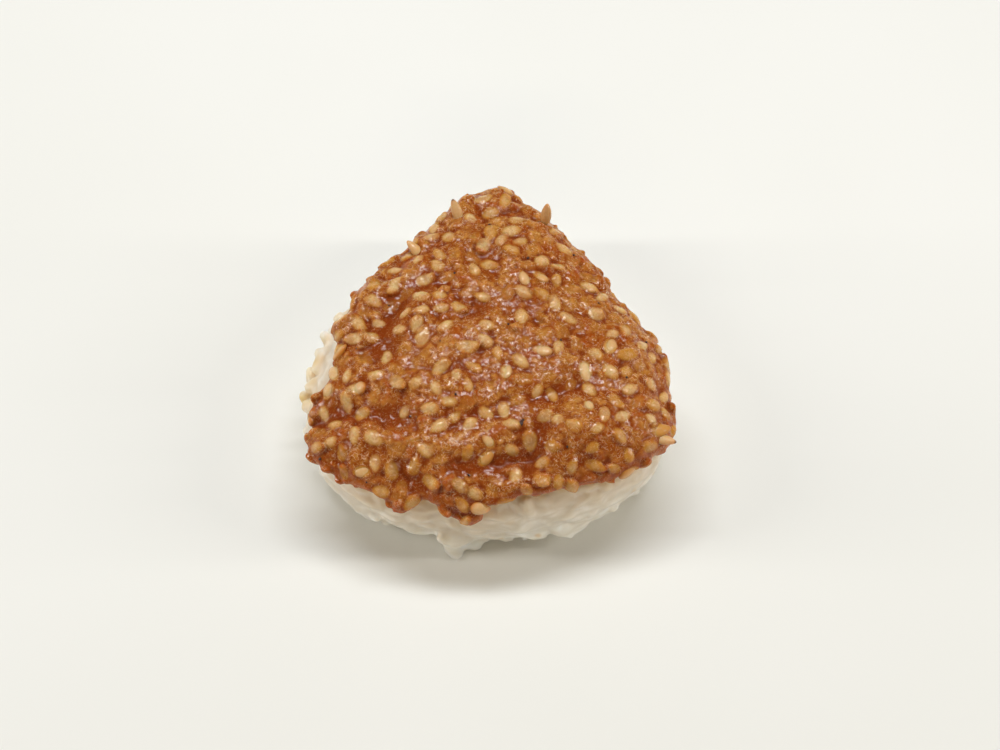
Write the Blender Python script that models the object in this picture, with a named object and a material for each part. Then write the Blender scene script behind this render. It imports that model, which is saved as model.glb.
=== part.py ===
"""A small rice ball lying flat, its upper face spread with thick sesame miso.

Metres, +Z up. The ball is a rounded triangle: its point looks along +Y and its nearly
straight front side faces -Y. It has two sub-parts: the pressed rice, and the cap of paste
that clings to its top and hangs a little way down its sides.

Both are worked out round a middle axis: a direction (theta) round the ball, and an angle
(alpha) down its side profile, from 0 at the top to pi underneath. At the end everything
slides so that the origin is under the middle of the ball's box, on the surface it rests on.
"""

import math

import bmesh
import bpy
import numpy as np
from mathutils import Vector, noise

MM = 0.001

# Rice: a rounded triangle in plan, a sagging pillow from the side.
RICE_HEIGHT = 22.0 * MM
BELT_HEIGHT = 7.5 * MM  # where the sides stand out furthest
BASE_SINK = 1.4 * MM  # depth of the rounded underside that is pressed flat
TOP_SQUARENESS = 3.2  # 2 is a plain ellipse, higher is boxier
BASE_SQUARENESS = 3.0
# Reach of the belt from the middle, in turn at a corner and at a side: degrees from +X, reach.
BELT = (
    (92.0, 37.9 * MM),  # the point at the back
    (141.0, 30.4 * MM),
    (204.0, 34.2 * MM),  # left corner
    (270.0, 27.5 * MM),  # front side
    (337.0, 32.5 * MM),  # right corner
    (390.0, 27.9 * MM),
)
SIDE_FLATNESS = 0.06  # takes the waist out of each side
MEAN_SIDE = math.radians(118.0)  # a direction in which the reach is about the average
RICE_SEGMENTS, RICE_RINGS = 90, 25

# Grains give the pressed rice a lumpy skin, and a few stand out of it, mostly near the foot.
RICE_LUMPS = ((4.2 * MM, 0.55 * MM), (10.0 * MM, 0.7 * MM))  # size across, height
GRAIN_TIPS = (  # direction in degrees, height, how far it stands out, half width
    (-103.5, 4.0 * MM, 1.7 * MM, 2.6 * MM),
    (-118.0, 4.5 * MM, 1.0 * MM, 2.2 * MM),
    (-60.0, 4.0 * MM, 1.1 * MM, 1.8 * MM),
    (-74.0, 3.5 * MM, 0.8 * MM, 1.8 * MM),
    (-137.0, 5.0 * MM, 0.9 * MM, 2.2 * MM),
    (163.0, 12.0 * MM, 1.0 * MM, 3.4 * MM),
    (177.0, 11.0 * MM, 1.0 * MM, 3.2 * MM),
)

# Topping: paste spread over the top, with a rounded lip at its hem.
PASTE_GAP = 0.3 * MM  # between the rice and the underside of the paste
PASTE_THICKNESS = 3.1 * MM
LIP_THICKNESS = 2.6 * MM
RIM_WIDTH = 9.0 * MM  # how far in from the hem it reaches its full thickness
PASTE_SEGMENTS, CAP_RINGS, LIP_RINGS, TUCK_RINGS = 108, 13, 5, 3
TUCK_DEPTH = 2.2 * MM  # the cap's closed underside lies this deep in the rice, and is cut away
# Height of the hem round the ball: direction in degrees, height above the surface.
HEM = (
    (92, 17.0),
    (60, 17.5),
    (34, 17.5),
    (5, 16.0),
    (-24, 15.0),
    (-42, 16.4),
    (-60, 17.6),
    (-84, 18.0),
    (-91, 17.4),
    (-96, 14.6),
    (-104, 14.8),
    (-113, 16.9),
    (-120, 14.9),
    (-131, 15.6),
    (-150, 14.8),
    (-164, 16.0),
    (-176, 18.6),
    (165, 18.4),
    (150, 17.6),
    (118, 17.6),
)
HEM_RAGGED = (3.6 * MM, 1.0 * MM)  # size of the bites along the hem, their depth
PASTE_LUMPS = ((6.0 * MM, 0.55 * MM), (14.0 * MM, 0.8 * MM))
RIM_RELIEF = 0.35  # share of the swells and furrows that reaches the hem
RICE_SEED, PASTE_SEED, HEM_SEED = 3.1, 7.3, 5.7  # places in the noise field
# Swells and furrows of the spread paste, in mm: x, y, bearing in degrees, half length, half width,
# height.
PASTE_FORMS = (
    (17.0, -13.0, -8, 13.0, 7.5, 1.3),  # heap in the right front
    (3.5, -19.5, 62, 6.0, 3.2, -1.9),  # hollow beside that heap
    (5.5, -10.0, 17, 10.0, 2.2, -1.1),  # furrow that runs back from the hollow
    (-23.0, -11.5, -4, 9.0, 2.6, -1.1),  # trough across the left corner
    (-15.0, -21.0, 15, 5.0, 3.0, -0.9),
    (-17.0, 10.0, 60, 5.5, 2.6, -0.8),
    (-8.0, 0.0, 28, 9.0, 3.5, 0.7),
    (0.0, 25.0, 0, 9.0, 4.0, 0.6),
    (22.0, 2.0, 70, 8.0, 4.0, 0.6),
    (-1.5, 36.5, 90, 4.5, 4.5, 4.6),  # knob at the point
)


def wrapped(degrees):
    """An angle brought to between -180 and 180 degrees."""
    return (degrees + 180.0) % 360.0 - 180.0


def belt_reach(theta):
    """Distance from the middle to the belt in a direction: three round corners and nearly flat sides."""
    start = BELT[0][0]
    bearing = (math.degrees(theta) - start) % 360.0 + start
    step = max(i for i, (direction, _) in enumerate(BELT) if direction <= bearing)
    (here, reach), (there, next_reach) = BELT[step], BELT[(step + 1) % len(BELT)]
    share = (bearing - here) / ((there - here) % 360.0)
    at_corner = step % 2 == 0
    corner, side = (reach, next_reach) if at_corner else (next_reach, reach)
    off = math.radians(60.0 * (share if at_corner else 1.0 - share))
    bump = (1.0 + math.cos(3.0 * off)) / 2.0 - SIDE_FLATNESS * (1.0 - math.cos(6.0 * off))
    return side + (corner - side) * bump


def hem_height(theta):
    """Height of the paste's hem in a direction, eased between the points of HEM."""
    bearing = math.degrees(theta)
    ahead = min(HEM, key=lambda p: (p[0] - bearing) % 360.0)
    behind = min(HEM, key=lambda p: (bearing - p[0]) % 360.0)
    span = (ahead[0] - behind[0]) % 360.0
    share = (bearing - behind[0]) % 360.0 / span if span else 0.0
    eased = share * share * (3.0 - 2.0 * share)
    return (behind[1] + (ahead[1] - behind[1]) * eased) * MM


def half_height(alpha):
    """Height of the upper or the lower half of the rice, and that half's squareness."""
    if alpha < math.pi / 2:
        return RICE_HEIGHT - BELT_HEIGHT, TOP_SQUARENESS
    return BELT_HEIGHT + BASE_SINK, BASE_SQUARENESS


def rice_point(theta, alpha):
    """(point, outward normal) of the smooth rice; alpha runs from 0 at the top to pi underneath."""
    half, square = half_height(alpha)
    wide = math.sin(alpha) ** (2.0 / square) if 0.0 < alpha < math.pi else 0.0
    high = abs(math.cos(alpha)) ** (2.0 / square)
    up = 1.0 if alpha < math.pi / 2 else -1.0
    reach = belt_reach(theta)
    out = Vector((math.cos(theta), math.sin(theta), 0.0))
    point = out * (reach * wide) + Vector((0.0, 0.0, BELT_HEIGHT + up * half * high))
    slope_out = wide ** (square - 1.0) / reach
    slope_up = up * high ** (square - 1.0) / half
    normal = (out * slope_out + Vector((0.0, 0.0, slope_up))).normalized()
    return point, normal


def arc_table(last_alpha=math.pi, steps=720):
    """Alphas and the distance run along the mean side profile up to each, for even ring spacing."""
    alphas = np.linspace(0.0, last_alpha, steps + 1)
    side = np.array([rice_point(MEAN_SIDE, a)[0] for a in alphas])
    runs = np.linalg.norm(np.diff(side, axis=0), axis=1)
    return alphas, np.concatenate([[0.0], np.cumsum(runs)])


def fractal(point, layers, seed):
    """Sum of noise layers, each (size across, height), at a point."""
    shift = Vector((seed, 2.0 * seed, -seed))
    return sum(noise.noise(point / size + shift) * height for size, height in layers)


def grain_tips(theta, height):
    """How far the loose grains near the foot stand out at this place on the side."""
    total = 0.0
    for direction, level, reach, half_width in GRAIN_TIPS:
        along = math.radians(wrapped(math.degrees(theta) - direction)) * belt_reach(theta)
        spread = (along * along + (height - level) ** 2) / (half_width * half_width)
        total += reach * math.exp(-spread * spread)
    return total


def paste_relief(point):
    """Swells and furrows of the paste over a place in plan."""
    total = fractal(Vector((point.x, point.y, 0.0)), PASTE_LUMPS, PASTE_SEED)
    for x, y, bearing, half_length, half_width, height in PASTE_FORMS:
        turn = math.radians(bearing)
        dx, dy = point.x - x * MM, point.y - y * MM
        along = (dx * math.cos(turn) + dy * math.sin(turn)) / (half_length * MM)
        across = (dy * math.cos(turn) - dx * math.sin(turn)) / (half_width * MM)
        total += height * MM * math.exp(-(along * along + across * across))
    return total


def shaped_sphere(name, segments, rings, place):
    """A UV sphere whose vertices are moved to place(theta, ring), as a new mesh."""
    bm = bmesh.new()
    bmesh.ops.create_uvsphere(bm, u_segments=segments, v_segments=rings, radius=1.0)
    for vert in bm.verts:
        ring = round(math.acos(max(-1.0, min(1.0, vert.co.z))) * rings / math.pi)
        vert.co = place(math.atan2(vert.co.y, vert.co.x), ring)
    bmesh.ops.recalc_face_normals(bm, faces=bm.faces)
    mesh = bpy.data.meshes.new(name)
    bm.to_mesh(mesh)
    bm.free()
    return mesh


def press_flat(mesh):
    """Cuts a mesh off at the surface it rests on and closes it with one flat face."""
    bm = bmesh.new()
    bm.from_mesh(mesh)
    everything = bm.verts[:] + bm.edges[:] + bm.faces[:]
    cut = bmesh.ops.bisect_plane(
        bm, geom=everything, dist=1e-7, plane_co=(0, 0, 0), plane_no=(0, 0, 1), clear_inner=True
    )
    edges = [e for e in cut["geom_cut"] if isinstance(e, bmesh.types.BMEdge)]
    bmesh.ops.holes_fill(bm, edges=edges, sides=0)
    bmesh.ops.recalc_face_normals(bm, faces=bm.faces)
    bm.to_mesh(mesh)
    bm.free()


def rice_mesh(name, grown=0.0):
    """The pressed rice, or with grown a copy that stands that far outside it."""
    alphas, runs = arc_table()
    ring_alphas = np.interp(np.linspace(0.0, runs[-1], RICE_RINGS + 1), runs, alphas)

    def place(theta, ring):
        point, normal = rice_point(theta, ring_alphas[ring])
        bare = 1.0 - max(0.0, normal.z) ** 2  # the top is smooth under the paste
        lumps = fractal(point, RICE_LUMPS, RICE_SEED) * bare
        return point + normal * (lumps + grain_tips(theta, point.z) * bare + grown)

    mesh = shaped_sphere(name, RICE_SEGMENTS, RICE_RINGS, place)
    if not grown:
        press_flat(mesh)
    return mesh


def paste_mesh(name):
    """The cap of paste as a closed cushion, whose underside is still buried in the rice."""
    alphas, runs = arc_table(math.pi / 2)
    heights = np.array([rice_point(0.0, a)[0].z for a in alphas])
    rings = CAP_RINGS + LIP_RINGS + TUCK_RINGS

    def hem_run(theta):
        """Distance from the middle of the top to the hem, with its ragged bites."""
        alpha = np.interp(-hem_height(theta), -heights, alphas)
        point, _ = rice_point(theta, alpha)
        bite = fractal(point, (HEM_RAGGED,), HEM_SEED)
        return np.interp(alpha, alphas, runs) + bite - LIP_THICKNESS / 2

    def place(theta, ring):
        hem = hem_run(theta)
        if ring <= CAP_RINGS:
            along, beta = hem * ring / CAP_RINGS, math.pi / 2
        elif ring < CAP_RINGS + LIP_RINGS:
            beta = math.pi / 2 - math.pi * (ring - CAP_RINGS) / LIP_RINGS
            along = hem + LIP_THICKNESS / 2 * math.cos(beta)
        else:
            under = (rings - ring) / (TUCK_RINGS + 1)
            point, normal = rice_point(theta, np.interp(hem * under, runs, alphas))
            return point - normal * TUCK_DEPTH
        point, normal = rice_point(theta, np.interp(along, runs, alphas))
        inward = min(1.0, max(0.0, hem - along) / RIM_WIDTH)
        thick = LIP_THICKNESS + (PASTE_THICKNESS - LIP_THICKNESS) * inward
        thick += paste_relief(point) * (RIM_RELIEF + (1.0 - RIM_RELIEF) * inward)
        return point + normal * (PASTE_GAP + thick * (1.0 + math.sin(beta)) / 2)

    return shaped_sphere(name, PASTE_SEGMENTS, rings, place)


def material(name, colour, roughness):
    """A plain Principled BSDF material; colour is linear RGB."""
    made = bpy.data.materials.new(name)
    made.use_nodes = True
    shader = made.node_tree.nodes["Principled BSDF"]
    shader.inputs["Base Color"].default_value = (*colour, 1.0)
    shader.inputs["Roughness"].default_value = roughness
    shader.inputs["Metallic"].default_value = 0.0
    made.diffuse_color = (*colour, 1.0)
    return made


def add_object(name, mesh, collection, finish=None):
    """Links a mesh to the scene as a named object, shaded smooth."""
    obj = bpy.data.objects.new(name, mesh)
    collection.objects.link(obj)
    mesh.shade_smooth()
    if finish:
        mesh.materials.append(finish)
    return obj


def stand_on_origin(meshes, measured):
    """Slides all the meshes together so that the measured ones' box is centred over the origin."""
    points = np.array([v.co for mesh in measured for v in mesh.vertices])
    middle = (points.min(axis=0) + points.max(axis=0)) / 2
    for mesh in meshes:
        for vert in mesh.vertices:
            vert.co.x -= middle[0]
            vert.co.y -= middle[1]


def main():
    """Builds the rice and its topping in a clean scene."""
    for obj in list(bpy.data.objects):
        bpy.data.objects.remove(obj)
    parts = bpy.data.collections.new("rice_ball")
    helpers = bpy.data.collections.new("cutters")
    for collection in (parts, helpers):
        bpy.context.scene.collection.children.link(collection)

    rice = rice_mesh("rice")
    paste = paste_mesh("sesame_miso")
    cutter = rice_mesh("rice_grown", grown=PASTE_GAP)
    stand_on_origin((rice, paste, cutter), (rice, paste))

    add_object("rice", rice, parts, material("pressed_rice", (0.71, 0.68, 0.60), 0.45))
    topping = add_object(
        "sesame_miso", paste, parts, material("sesame_paste", (0.36, 0.12, 0.025), 0.3)
    )
    knife = add_object("rice_cutter", cutter, helpers)
    knife.hide_render = True
    knife.display_type = "WIRE"
    hollow = topping.modifiers.new("sits on the rice", "BOOLEAN")
    hollow.operation = "DIFFERENCE"
    hollow.object = knife


main()
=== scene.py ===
"""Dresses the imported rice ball: pressed rice, sesame miso with its seeds, studio and camera.

Metres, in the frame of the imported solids: +Z up, the ball's point towards +Y, and the
origin on the floor under its middle. Everything small is real mesh at true size.
"""

import logging
import math
from collections.abc import Callable, Mapping, Sequence
from dataclasses import dataclass, field
from enum import Enum
from typing import Any

import bmesh
import bpy
import numpy as np
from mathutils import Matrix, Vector, kdtree, noise
from mathutils.bvhtree import BVHTree


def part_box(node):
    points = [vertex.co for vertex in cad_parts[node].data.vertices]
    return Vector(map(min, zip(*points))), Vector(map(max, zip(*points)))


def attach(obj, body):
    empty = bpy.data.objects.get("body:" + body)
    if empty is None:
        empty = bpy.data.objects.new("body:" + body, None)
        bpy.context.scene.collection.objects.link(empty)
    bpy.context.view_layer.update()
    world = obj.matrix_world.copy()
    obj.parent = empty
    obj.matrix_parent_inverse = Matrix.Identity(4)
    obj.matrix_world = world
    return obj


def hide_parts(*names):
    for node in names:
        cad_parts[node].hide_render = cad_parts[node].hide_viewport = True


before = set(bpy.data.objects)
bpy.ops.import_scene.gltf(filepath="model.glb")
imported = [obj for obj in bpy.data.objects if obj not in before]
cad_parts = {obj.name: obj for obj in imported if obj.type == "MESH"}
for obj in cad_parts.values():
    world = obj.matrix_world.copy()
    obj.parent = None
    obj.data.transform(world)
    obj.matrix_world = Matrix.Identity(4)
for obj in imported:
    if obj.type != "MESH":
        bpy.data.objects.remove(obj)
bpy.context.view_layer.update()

log = logging.getLogger("rice_ball")

MM = 0.001
BODY = "root"

Array = np.ndarray
Colour = tuple[float, float, float, float]


# ---------------------------------------------------------------- colours and shader nodes


def linear(code: str) -> Colour:
    """Turns an sRGB colour into the linear one that shaders take.

    Args:
        code: the colour as "#RRGGBB".

    Returns:
        Linear red, green, blue and an alpha of 1.
    """
    parts = [int(code[i : i + 2], 16) / 255.0 for i in (1, 3, 5)]
    red, green, blue = (c / 12.92 if c <= 0.04045 else ((c + 0.055) / 1.055) ** 2.4 for c in parts)
    return red, green, blue, 1.0


def per_metre(size_mm: float) -> float:
    """Scale of a procedural pattern whose features are this many millimetres across."""
    return 1.0 / (size_mm * MM)


def add_node(
    tree: bpy.types.NodeTree, kind: str, inputs: Mapping[str | int, Any] | None = None, **settings: Any
) -> bpy.types.Node:
    """Adds a shader node with its settings and links.

    Args:
        tree: the material's or world's node tree.
        kind: the node's type, without the leading ShaderNode.
        inputs: for each input, by name or number, what it takes: a node, whose first output is
            linked, a socket, a colour as "#RRGGBB", or a plain value.
        **settings: the node's own properties.

    Returns:
        The new node.
    """
    node = tree.nodes.new("ShaderNode" + kind)
    for name, value in settings.items():
        setattr(node, name, value)
    for name, value in (inputs or {}).items():
        socket = node.inputs[name] if isinstance(name, int) else next(
            s for s in node.inputs if s.name == name and s.enabled
        )
        if isinstance(value, bpy.types.Node):
            value = next(s for s in value.outputs if s.enabled)
        if isinstance(value, bpy.types.NodeSocket):
            tree.links.new(value, socket)
        else:
            socket.default_value = linear(value) if isinstance(value, str) else value
    return node


def blank_material(name: str) -> tuple[bpy.types.Material, bpy.types.NodeTree]:
    """Makes a node material with no nodes in it yet.

    Args:
        name: the material's name.

    Returns:
        The material and its node tree.
    """
    material = bpy.data.materials.new(name)
    material.use_nodes = True
    material.node_tree.nodes.clear()
    return material, material.node_tree


# ---------------------------------------------------------------- finishes


@dataclass(frozen=True)
class Cloud:
    """Noise that says how much of something is where: none below low, the most above high."""

    size_mm: float
    detail: float
    low: float
    high: float
    most: float = 1.0

    def add(self, tree: bpy.types.NodeTree, place: bpy.types.NodeSocket) -> bpy.types.Node:
        """Adds its nodes.

        Args:
            tree: the material's node tree.
            place: the point that is shaded, in metres.

        Returns:
            The node that gives the share.
        """
        spread = {"Vector": place, "Scale": per_metre(self.size_mm), "Detail": self.detail}
        noisy = add_node(tree, "TexNoise", spread)
        ramp = {"Value": noisy, "From Min": self.low, "From Max": self.high, "To Max": self.most}
        return add_node(tree, "MapRange", ramp)


@dataclass(frozen=True)
class CookedRice:
    """Short-grain rice, steamed and pressed while warm.

    The starch has gone translucent, so grains glow softly into each other with hardly a
    shadow between them, and the damp skin gives short dull glints.
    """

    name: str = "steamed_short_grain_rice"
    bright: str = "#FBF8F2"
    milky: str = "#F0EADE"
    sauce: str = "#D8B064"  # where sauce has soaked in
    warm: str = "#CBAA7C"  # painted shade under the paste's lip, tinted by painted light through the sauce
    seam_shade: str = "#CFC5B2"  # painted shade: darker lines along the grains' outlines, between grains
    cloud: Cloud = Cloud(3.0, 2.0, 0.3, 0.7)  # milky cores and clear edges of the grains
    grain_mm: tuple[float, float, float] = (5.2, 5.2, 2.3)  # grains lie flat
    seam_width: float = 0.3  # in grains
    seam_most: float = 0.5
    bend_mm: float = 1.6  # of the grains' outlines
    skin_mm: float = 0.5  # fine wrinkles of the damp skin
    roughness: float = 0.34
    ior: float = 1.38
    glow_mm: float = 3.5

    def make(self) -> bpy.types.Material:
        """Builds the material."""
        material, tree = blank_material(self.name)
        place = add_node(tree, "TexCoord").outputs["Object"]
        marks = {
            mark: add_node(tree, "Attribute", attribute_name=mark).outputs["Fac"] for mark in ("stain", "lip_shade")
        }
        warp = add_node(tree, "TexNoise", {"Vector": place, "Scale": per_metre(4.0), "Detail": 1.0})
        offset = add_node(
            tree,
            "VectorMath",
            {0: warp.outputs["Color"], 1: (self.bend_mm * MM,) * 3, 2: place},
            operation="MULTIPLY_ADD",
        )
        scale = tuple(per_metre(size) for size in self.grain_mm)
        laid = add_node(tree, "VectorMath", {0: offset, 1: scale}, operation="MULTIPLY")
        # painted shade along the outlines of the grains
        between = add_node(
            tree, "TexVoronoi", {"Vector": laid, "Scale": 1.0}, feature="DISTANCE_TO_EDGE"
        )
        line = {"Value": between, "From Max": self.seam_width, "To Min": self.seam_most, "To Max": 0.0}
        seam_shade = add_node(tree, "MapRange", line)
        layers = [
            (self.cloud.add(tree, place), self.milky),
            (seam_shade, self.seam_shade),
            # painted shade under the paste's lip, warm from painted light through the sauce
            (marks["lip_shade"], self.warm),
            (marks["stain"], self.sauce),
        ]
        colour = self.bright
        for share, over in layers:
            colour = add_node(tree, "Mix", {"Factor": share, "A": colour, "B": over}, data_type="RGBA")
        skin = add_node(tree, "TexNoise", {"Vector": place, "Scale": per_metre(self.skin_mm), "Detail": 2.0})
        bump = add_node(tree, "Bump", {"Height": skin, "Strength": 1.0, "Distance": 0.04 * MM})
        shader = add_node(
            tree,
            "BsdfPrincipled",
            {
                "Base Color": colour,
                "Normal": bump,
                "Roughness": self.roughness,
                "IOR": self.ior,
                "Subsurface Weight": 1.0,
                "Subsurface Radius": (1.0, 0.92, 0.8),
                "Subsurface Scale": self.glow_mm * MM,
                "Coat Weight": 0.3,
                "Coat Roughness": 0.18,
                "Coat Normal": bump,
            },
        )
        add_node(tree, "OutputMaterial", {"Surface": shader})
        return material


@dataclass(frozen=True)
class MisoPaste:
    """Miso stirred with sugar and ground sesame, spread thick and wet.

    A grainy, see-through brown: amber where it is thin or lies over a seed, deep red-brown
    in the hollows from thicker sauce and painted shade, darker and redder as painted shade on
    steep sides that face the front, and full of tiny wet glints: real gloss from the ground seed,
    and painted glints drawn into its colour.
    """

    name: str = "sesame_miso_paste"
    body: str = "#9E581A"
    rich: str = "#9C4006"  # sauce that has gathered, with little in it, in random puddles; also painted shade in dips and on steep sides that face the front
    deep: str = "#7A3008"  # down in hollows and creases: partly thicker sauce, partly painted shade
    cream: str = "#DFC28E"  # a pale seed under the film
    honey: str = "#BE8434"  # a soaked seed under the film
    mash: str = "#BE803C"  # ground sesame close to the surface
    gap: str = "#823208"  # between the grains of ground sesame; also the painted shade in the ring round each seed
    bran_and_glitter: str = "#DCAC6C"  # finely ground hulls, partly painted glitter
    glint: str = "#F2D2AC"  # painted glint: pale curls of light drawn into the colour
    ground: Cloud = Cloud(1.3, 1.0, 0.48, 0.6, 0.8)
    pit: Cloud = Cloud(0.6, 1.0, 0.5, 0.64, 0.6)
    pale: Cloud = Cloud(7.0, 1.0, 0.45, 0.65, 0.45)  # where more of the mash has risen
    puddle: Cloud = Cloud(4.0, 2.0, 0.5, 0.64, 0.6)  # sauce that lies smooth between grainy patches
    husk: Cloud = Cloud(0.35, 2.0, 0.35, 0.65, 0.45)
    cover: Cloud = Cloud(1.7, 2.0, 0.46, 0.62, 0.4)  # where mash lies over the seeds
    bran_glitter_share: Cloud = Cloud(0.3, 1.0, 0.57, 0.67, 0.4)  # pale specks of ground hull, drawn a little coarser than real bran, to show; partly painted glitter
    glint_spread: Cloud = Cloud(1.6, 2.0, 0.42, 0.56)  # where the painted glints lie
    curl_mm: float = 0.6  # painted glints, thin and curled
    curl_width: float = 0.06
    curl_most: float = 0.6
    snip: Cloud = Cloud(0.45, 0.0, 0.38, 0.52)  # cuts them into short bits
    grit_mm: float = 0.7
    grit_height_mm: float = 0.15
    steep_front_most: float = 0.6  # share of the steep sides that face the front, drawn smooth and painted darker and redder as shade
    roughness: float = 0.42
    ior: float = 1.38
    glow_mm: float = 1.3

    def make(self) -> bpy.types.Material:
        """Builds the material."""
        material, tree = blank_material(self.name)
        place = add_node(tree, "TexCoord").outputs["Object"]
        marks = {
            mark: add_node(tree, "Attribute", attribute_name=mark).outputs["Fac"]
            for mark in ("seed", "tone", "seed_ring_shade", "crease", "hollow", "steep")
        }
        # hollows and creases: partly thicker sauce, partly painted shade
        dip = add_node(tree, "Math", {0: marks["hollow"], 1: marks["crease"]}, operation="MAXIMUM")
        # painted shade on steep sides that face the front
        steep_front = add_node(tree, "Math", {0: marks["steep"], 1: self.steep_front_most}, operation="MULTIPLY")
        # dips, and the painted shade on steep front sides
        wet = add_node(tree, "Math", {0: dip, 1: steep_front}, operation="MAXIMUM")
        # random puddles of sauce, and painted shade in the dips and on steep front sides
        pool_and_shade = add_node(tree, "Math", {0: wet, 1: self.puddle.add(tree, place)}, operation="MAXIMUM")
        dry = add_node(tree, "Math", {0: pool_and_shade, 1: -0.85, 2: 1.0}, operation="MULTIPLY_ADD")
        # pale specks: ground hull, partly painted glitter
        bran_glitter_share = add_node(tree, "Math", {0: self.bran_glitter_share.add(tree, place), 1: dry}, operation="MULTIPLY")
        # painted glints: thin pale curled lines in the colour, kept off the pooled and shaded parts
        swirl = add_node(tree, "TexNoise", {"Vector": place, "Scale": per_metre(self.curl_mm), "Detail": 0.0})
        ridge = add_node(tree, "Math", {0: swirl, 1: 0.5}, operation="PINGPONG")
        line = {"Value": ridge, "From Min": 0.5 - self.curl_width, "From Max": 0.5, "To Max": self.curl_most}
        curl = add_node(tree, "MapRange", line)
        glint_patches = add_node(tree, "Math", {0: curl, 1: self.glint_spread.add(tree, place)}, operation="MULTIPLY")
        bits = add_node(tree, "Math", {0: glint_patches, 1: self.snip.add(tree, place)}, operation="MULTIPLY")
        painted_glints = add_node(tree, "Math", {0: bits, 1: dry}, operation="MULTIPLY")
        patchy = add_node(tree, "Math", {0: 1.0, 1: self.cover.add(tree, place)}, operation="SUBTRACT")
        seed = add_node(tree, "Math", {0: marks["seed"], 1: patchy}, operation="MULTIPLY")
        hull = self.cream
        for share in (marks["tone"], self.husk.add(tree, place)):
            hull = add_node(tree, "Mix", {"Factor": share, "A": hull, "B": self.honey}, data_type="RGBA")
        layers = [
            (self.pale.add(tree, place), self.mash),
            (self.ground.add(tree, place), self.mash),
            (self.pit.add(tree, place), self.gap),
            # painted shade: dips and steep front sides turn darker and redder, along with random puddles of sauce
            (pool_and_shade, self.rich),
            # painted shade in hollows and creases, partly thicker sauce
            (dip, self.deep),
            (seed, hull),
            # painted shade: a dark ring round the foot of each seed, partly sauce drawn in
            (marks["seed_ring_shade"], self.gap),
            (bran_glitter_share, self.bran_and_glitter),
            (painted_glints, self.glint),
        ]
        colour = self.body
        for share, over in layers:
            colour = add_node(tree, "Mix", {"Factor": share, "A": colour, "B": over}, data_type="RGBA")
        grit = add_node(tree, "TexNoise", {"Vector": place, "Scale": per_metre(self.grit_mm), "Detail": 1.0})
        rough = add_node(tree, "Math", {0: dry, 1: 0.92, 2: 0.08}, operation="MULTIPLY_ADD")
        height = add_node(tree, "Math", {0: grit, 1: rough}, operation="MULTIPLY")
        bump = add_node(
            tree, "Bump", {"Height": height, "Strength": 1.0, "Distance": self.grit_height_mm * MM}
        )
        shader = add_node(
            tree,
            "BsdfPrincipled",
            {
                "Base Color": colour,
                "Normal": bump,
                "Roughness": self.roughness,
                "IOR": self.ior,
                "Specular IOR Level": 0.0,
                "Subsurface Weight": 0.6,
                "Subsurface Radius": (1.0, 0.42, 0.16),
                "Subsurface Scale": self.glow_mm * MM,
                "Coat Weight": 0.8,
                "Coat IOR": 1.38,
                "Coat Roughness": 0.03,
                "Coat Normal": bump,
            },
        )
        add_node(tree, "OutputMaterial", {"Surface": shader})
        return material


@dataclass(frozen=True)
class SesameHull:
    """Toasted, hulled white sesame that has soaked in the sauce.

    Cream to honey, a little see-through at its rim, with a wet skin and, on some, a brown
    scorched point.
    """

    name: str = "toasted_sesame"
    cream: str = "#DFBC8C"
    honey: str = "#CC9246"
    sauce: str = "#BC7628"  # where it goes under the paste
    scorch: str = "#3A1A0C"
    husk: Cloud = Cloud(0.35, 2.0, 0.35, 0.65, 0.35)
    skin_mm: float = 0.7
    roughness: float = 0.42
    ior: float = 1.42
    glow_mm: float = 0.8

    def make(self) -> bpy.types.Material:
        """Builds the material."""
        material, tree = blank_material(self.name)
        place = add_node(tree, "TexCoord").outputs["Object"]
        marks = {
            mark: add_node(tree, "Attribute", attribute_name=mark).outputs["Fac"]
            for mark in ("tone", "rim", "scorch")
        }
        layers = [
            (marks["tone"], self.honey),
            (self.husk.add(tree, place), self.honey),
            (marks["rim"], self.sauce),
            (marks["scorch"], self.scorch),
        ]
        colour = self.cream
        for share, over in layers:
            colour = add_node(tree, "Mix", {"Factor": share, "A": colour, "B": over}, data_type="RGBA")
        skin = add_node(tree, "TexNoise", {"Vector": place, "Scale": per_metre(self.skin_mm), "Detail": 0.0})
        bump = add_node(tree, "Bump", {"Height": skin, "Strength": 1.0, "Distance": 0.08 * MM})
        shader = add_node(
            tree,
            "BsdfPrincipled",
            {
                "Base Color": colour,
                "Normal": bump,
                "Roughness": self.roughness,
                "IOR": self.ior,
                "Specular IOR Level": 0.2,
                "Subsurface Weight": 0.6,
                "Subsurface Radius": (1.0, 0.55, 0.25),
                "Subsurface Scale": self.glow_mm * MM,
                "Coat Weight": 1.0,
                "Coat IOR": 1.38,
                "Coat Roughness": 0.05,
                "Coat Normal": bump,
            },
        )
        add_node(tree, "OutputMaterial", {"Surface": shader})
        return material


@dataclass(frozen=True)
class ScorchedFleck:
    """Crumbs of scorched sesame and seaweed: nearly black, with a slight wet shine."""

    name: str = "scorched_crumbs"
    dark: str = "#2C160E"
    brown: str = "#4A2412"
    mottle: Cloud = Cloud(0.4, 2.0, 0.3, 0.7)

    def make(self) -> bpy.types.Material:
        """Builds the material."""
        material, tree = blank_material(self.name)
        place = add_node(tree, "TexCoord").outputs["Object"]
        mixed = {"Factor": self.mottle.add(tree, place), "A": self.dark, "B": self.brown}
        colour = add_node(tree, "Mix", mixed, data_type="RGBA")
        shader = add_node(
            tree, "BsdfPrincipled", {"Base Color": colour, "Roughness": 0.5}
        )
        add_node(tree, "OutputMaterial", {"Surface": shader})
        return material


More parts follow.
